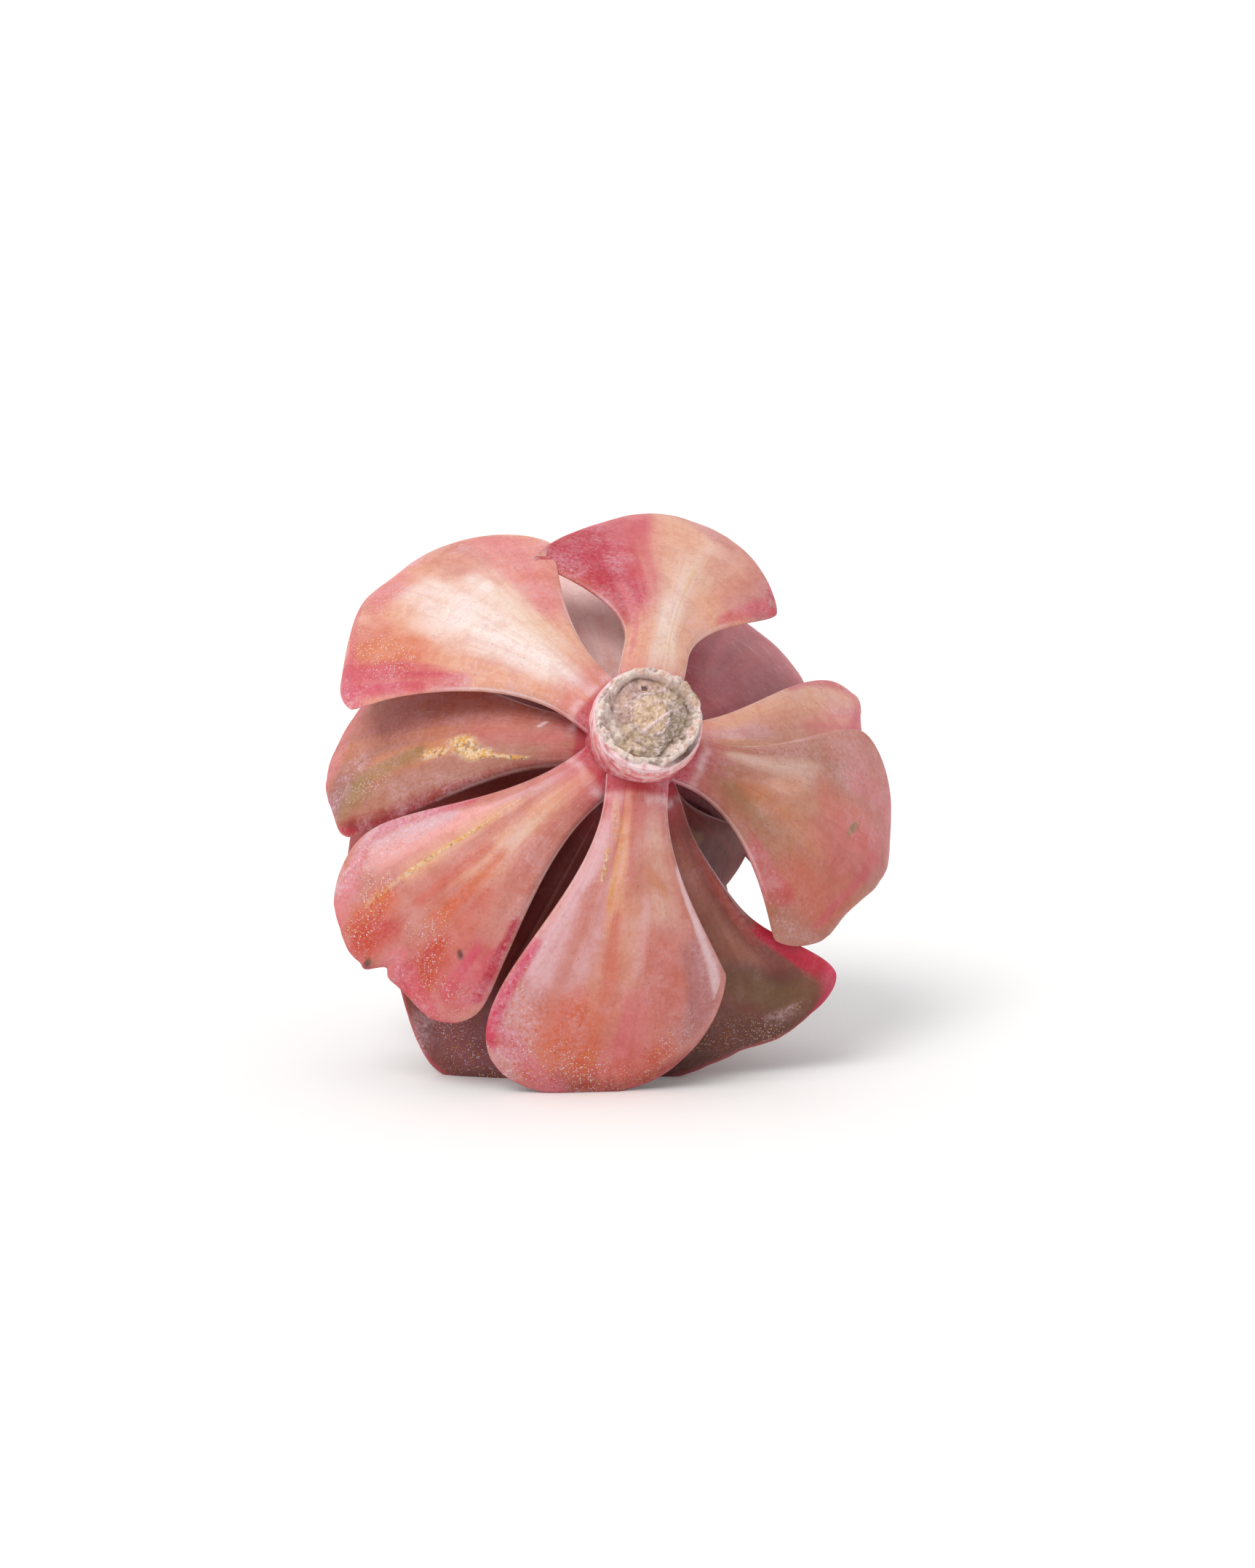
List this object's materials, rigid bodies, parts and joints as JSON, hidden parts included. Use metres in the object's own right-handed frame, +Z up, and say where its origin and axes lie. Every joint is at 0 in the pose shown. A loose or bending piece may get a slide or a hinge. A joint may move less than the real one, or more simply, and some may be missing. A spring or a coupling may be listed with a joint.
{
  "type": "cut succulent rosette",
  "caption": "Beheaded succulent rosette of thick spoon-shaped leaves on a short cut stem, lying on the tips of its lower leaves with the dried stem cut facing out.",
  "frame": {"origin": "on the surface it lies on, under the middle of its bounding box", "axes": "+Z up, +X along its width, -Y towards the cut end of the stem, which also looks up by 29 degrees"},
  "size_m": [0.1002, 0.0772, 0.094],
  "materials": {
    "stem": "dry, corky, matte",
    "outer_leaf": "waxy bloom, soft satin",
    "inner_leaf": "waxy bloom, soft satin"
  },
  "bodies": {
    "root": {"stem": "stem", "leaf_01": "outer_leaf", "leaf_02": "outer_leaf", "leaf_03": "outer_leaf", "leaf_04": "outer_leaf", "leaf_05": "outer_leaf", "leaf_06": "outer_leaf", "leaf_07": "outer_leaf", "leaf_08": "outer_leaf", "leaf_09": "outer_leaf", "leaf_10": "outer_leaf", "leaf_11": "outer_leaf", "leaf_12": "outer_leaf", "leaf_13": "outer_leaf", "leaf_14": "outer_leaf", "leaf_15": "inner_leaf", "leaf_16": "inner_leaf", "leaf_17": "inner_leaf", "leaf_18": "inner_leaf", "leaf_19": "inner_leaf", "leaf_20": "inner_leaf", "leaf_21": "inner_leaf", "leaf_22": "inner_leaf", "leaf_23": "inner_leaf", "leaf_24": "inner_leaf", "leaf_25": "inner_leaf", "leaf_26": "inner_leaf", "leaf_27": "inner_leaf", "leaf_28": "inner_leaf", "leaf_29": "inner_leaf", "leaf_30": "inner_leaf", "leaf_31": "inner_leaf", "leaf_32": "inner_leaf", "leaf_33": "inner_leaf", "leaf_34": "inner_leaf", "leaf_35": "inner_leaf", "leaf_36": "inner_leaf", "leaf_37": "inner_leaf", "leaf_38": "inner_leaf", "leaf_39": "inner_leaf", "leaf_40": "inner_leaf"}
  },
  "joints": []
}
